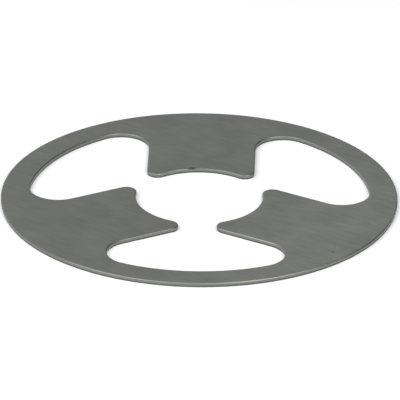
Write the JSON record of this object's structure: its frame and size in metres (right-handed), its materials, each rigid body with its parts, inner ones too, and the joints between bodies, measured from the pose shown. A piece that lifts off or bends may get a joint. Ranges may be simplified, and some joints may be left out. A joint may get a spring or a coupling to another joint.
{
  "type": "retaining clip",
  "caption": "Flat retaining clip blanked from spring strip: a closed rim with inward lugs whose hollowed ends grip a shaft, and rounded windows between them.",
  "frame": {"origin": "centre of the grip circle, on the lower face", "axes": "+Z is the ring's axis, out of the upper face with the rounded edges; one lug points along +Y from the centre, and a window opens along -Y"},
  "size_m": [0.078, 0.078, 0.0009],
  "materials": {
    "spring_steel": "plain rolled spring steel, dull grey with fine straight rolling lines, and smooth sheared edges"
  },
  "bodies": {
    "root": {"retaining_clip": "spring_steel"}
  },
  "joints": []
}
